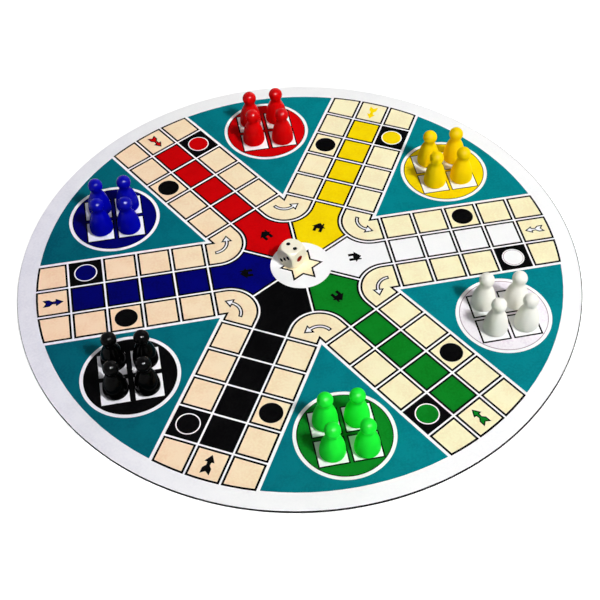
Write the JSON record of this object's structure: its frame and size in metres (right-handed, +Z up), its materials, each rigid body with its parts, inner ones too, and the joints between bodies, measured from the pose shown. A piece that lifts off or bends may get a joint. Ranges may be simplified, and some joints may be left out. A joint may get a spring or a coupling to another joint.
{
  "type": "round board game set",
  "caption": "Round printed board for a six-player race game, with coloured pawns standing in their corner rings and a die in the middle.",
  "frame": {"origin": "centre of the board's underside, on the surface that the board lies on", "axes": "+Z up, +X along the white player's printed arm, -Y towards the viewer of the picture"},
  "size_m": [0.3999, 0.4, 0.0315],
  "materials": {
    "printed_paper": "coated printing paper with a satin varnish, printed in teal, cream, black, white and the team colours",
    "dark_card": "solid grey board with a dark, slightly fibrous cut edge",
    "backing_paper": "plain black paper, matt",
    "yellow_plastic": "moulded plastic, glossy, in the team's yellow",
    "red_plastic": "moulded plastic, glossy, in the team's red",
    "blue_plastic": "moulded plastic, glossy, in the team's blue",
    "black_plastic": "moulded plastic, glossy, in the team's black",
    "green_plastic": "moulded plastic, glossy, in the team's green",
    "white_plastic": "moulded plastic, glossy, in the team's white",
    "die_plastic": "ivory plastic polished on the faces, with painted pips"
  },
  "bodies": {
    "board": {"backing_sheet": "backing_paper", "board_core": "dark_card", "playing_sheet": "printed_paper"},
    "yellow_pawn_1": {"yellow_pawn_1": "yellow_plastic"},
    "yellow_pawn_2": {"yellow_pawn_2": "yellow_plastic"},
    "yellow_pawn_3": {"yellow_pawn_3": "yellow_plastic"},
    "yellow_pawn_4": {"yellow_pawn_4": "yellow_plastic"},
    "red_pawn_1": {"red_pawn_1": "red_plastic"},
    "red_pawn_2": {"red_pawn_2": "red_plastic"},
    "red_pawn_3": {"red_pawn_3": "red_plastic"},
    "red_pawn_4": {"red_pawn_4": "red_plastic"},
    "blue_pawn_1": {"blue_pawn_1": "blue_plastic"},
    "blue_pawn_2": {"blue_pawn_2": "blue_plastic"},
    "blue_pawn_3": {"blue_pawn_3": "blue_plastic"},
    "blue_pawn_4": {"blue_pawn_4": "blue_plastic"},
    "black_pawn_1": {"black_pawn_1": "black_plastic"},
    "black_pawn_2": {"black_pawn_2": "black_plastic"},
    "black_pawn_3": {"black_pawn_3": "black_plastic"},
    "black_pawn_4": {"black_pawn_4": "black_plastic"},
    "green_pawn_1": {"green_pawn_1": "green_plastic"},
    "green_pawn_2": {"green_pawn_2": "green_plastic"},
    "green_pawn_3": {"green_pawn_3": "green_plastic"},
    "green_pawn_4": {"green_pawn_4": "green_plastic"},
    "white_pawn_1": {"white_pawn_1": "white_plastic"},
    "white_pawn_2": {"white_pawn_2": "white_plastic"},
    "white_pawn_3": {"white_pawn_3": "white_plastic"},
    "white_pawn_4": {"white_pawn_4": "white_plastic"},
    "die": {"die": "die_plastic"}
  },
  "joints": [
    {"name": "yellow_pawn_1_lift", "type": "slide", "parent": "board", "child": "yellow_pawn_1", "axis": [0, 0, 1], "range_m": [0, 0.04]},
    {"name": "yellow_pawn_2_lift", "type": "slide", "parent": "board", "child": "yellow_pawn_2", "axis": [0, 0, 1], "range_m": [0, 0.04]},
    {"name": "yellow_pawn_3_lift", "type": "slide", "parent": "board", "child": "yellow_pawn_3", "axis": [0, 0, 1], "range_m": [0, 0.04]},
    {"name": "yellow_pawn_4_lift", "type": "slide", "parent": "board", "child": "yellow_pawn_4", "axis": [0, 0, 1], "range_m": [0, 0.04]},
    {"name": "red_pawn_1_lift", "type": "slide", "parent": "board", "child": "red_pawn_1", "axis": [0, 0, 1], "range_m": [0, 0.04]},
    {"name": "red_pawn_2_lift", "type": "slide", "parent": "board", "child": "red_pawn_2", "axis": [0, 0, 1], "range_m": [0, 0.04]},
    {"name": "red_pawn_3_lift", "type": "slide", "parent": "board", "child": "red_pawn_3", "axis": [0, 0, 1], "range_m": [0, 0.04]},
    {"name": "red_pawn_4_lift", "type": "slide", "parent": "board", "child": "red_pawn_4", "axis": [0, 0, 1], "range_m": [0, 0.04]},
    {"name": "blue_pawn_1_lift", "type": "slide", "parent": "board", "child": "blue_pawn_1", "axis": [0, 0, 1], "range_m": [0, 0.04]},
    {"name": "blue_pawn_2_lift", "type": "slide", "parent": "board", "child": "blue_pawn_2", "axis": [0, 0, 1], "range_m": [0, 0.04]},
    {"name": "blue_pawn_3_lift", "type": "slide", "parent": "board", "child": "blue_pawn_3", "axis": [0, 0, 1], "range_m": [0, 0.04]},
    {"name": "blue_pawn_4_lift", "type": "slide", "parent": "board", "child": "blue_pawn_4", "axis": [0, 0, 1], "range_m": [0, 0.04]},
    {"name": "black_pawn_1_lift", "type": "slide", "parent": "board", "child": "black_pawn_1", "axis": [0, 0, 1], "range_m": [0, 0.04]},
    {"name": "black_pawn_2_lift", "type": "slide", "parent": "board", "child": "black_pawn_2", "axis": [0, 0, 1], "range_m": [0, 0.04]},
    {"name": "black_pawn_3_lift", "type": "slide", "parent": "board", "child": "black_pawn_3", "axis": [0, 0, 1], "range_m": [0, 0.04]},
    {"name": "black_pawn_4_lift", "type": "slide", "parent": "board", "child": "black_pawn_4", "axis": [0, 0, 1], "range_m": [0, 0.04]},
    {"name": "green_pawn_1_lift", "type": "slide", "parent": "board", "child": "green_pawn_1", "axis": [0, 0, 1], "range_m": [0, 0.04]},
    {"name": "green_pawn_2_lift", "type": "slide", "parent": "board", "child": "green_pawn_2", "axis": [0, 0, 1], "range_m": [0, 0.04]},
    {"name": "green_pawn_3_lift", "type": "slide", "parent": "board", "child": "green_pawn_3", "axis": [0, 0, 1], "range_m": [0, 0.04]},
    {"name": "green_pawn_4_lift", "type": "slide", "parent": "board", "child": "green_pawn_4", "axis": [0, 0, 1], "range_m": [0, 0.04]},
    {"name": "white_pawn_1_lift", "type": "slide", "parent": "board", "child": "white_pawn_1", "axis": [0, 0, 1], "range_m": [0, 0.04]},
    {"name": "white_pawn_2_lift", "type": "slide", "parent": "board", "child": "white_pawn_2", "axis": [0, 0, 1], "range_m": [0, 0.04]},
    {"name": "white_pawn_3_lift", "type": "slide", "parent": "board", "child": "white_pawn_3", "axis": [0, 0, 1], "range_m": [0, 0.04]},
    {"name": "white_pawn_4_lift", "type": "slide", "parent": "board", "child": "white_pawn_4", "axis": [0, 0, 1], "range_m": [0, 0.04]},
    {"name": "die_lift", "type": "slide", "parent": "board", "child": "die", "axis": [0, 0, 1], "range_m": [0, 0.04]}
  ]
}
